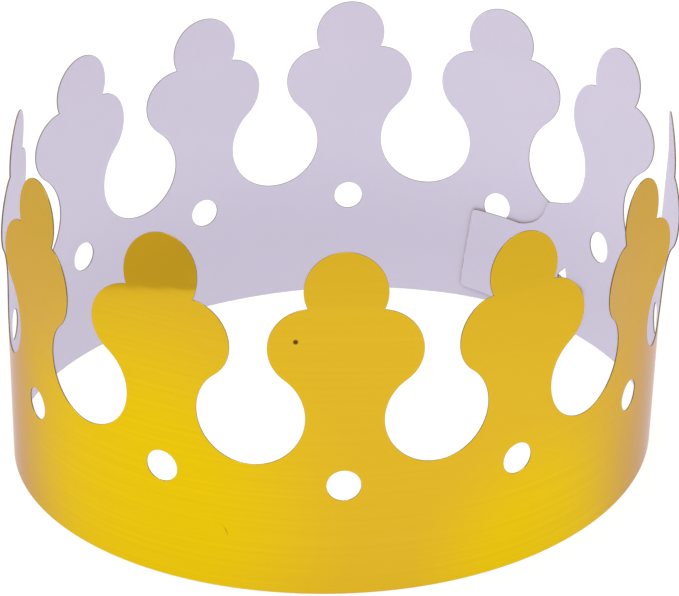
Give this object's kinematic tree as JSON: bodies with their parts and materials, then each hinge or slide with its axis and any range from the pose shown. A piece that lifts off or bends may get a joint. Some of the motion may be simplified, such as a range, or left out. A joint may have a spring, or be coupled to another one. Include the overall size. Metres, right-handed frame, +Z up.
{
  "type": "paper crown",
  "caption": "Open party crown of foil-faced card with trefoil points and round holes, closed into a ring by a hooked tab; worn on the head or stood on its rim.",
  "frame": {"origin": "middle of the ring on the plane of its lower rim", "axes": "+Z up through the points; -Y towards the wearer's front view, +X to the viewer's right, the overlap at the back right"},
  "size_m": [0.189, 0.1852, 0.0998],
  "materials": {
    "foil_card": "gold metallic foil on the outside, uncoated pale lavender-white card on the inside"
  },
  "bodies": {
    "root": {"crown_strip": "foil_card"}
  },
  "joints": []
}
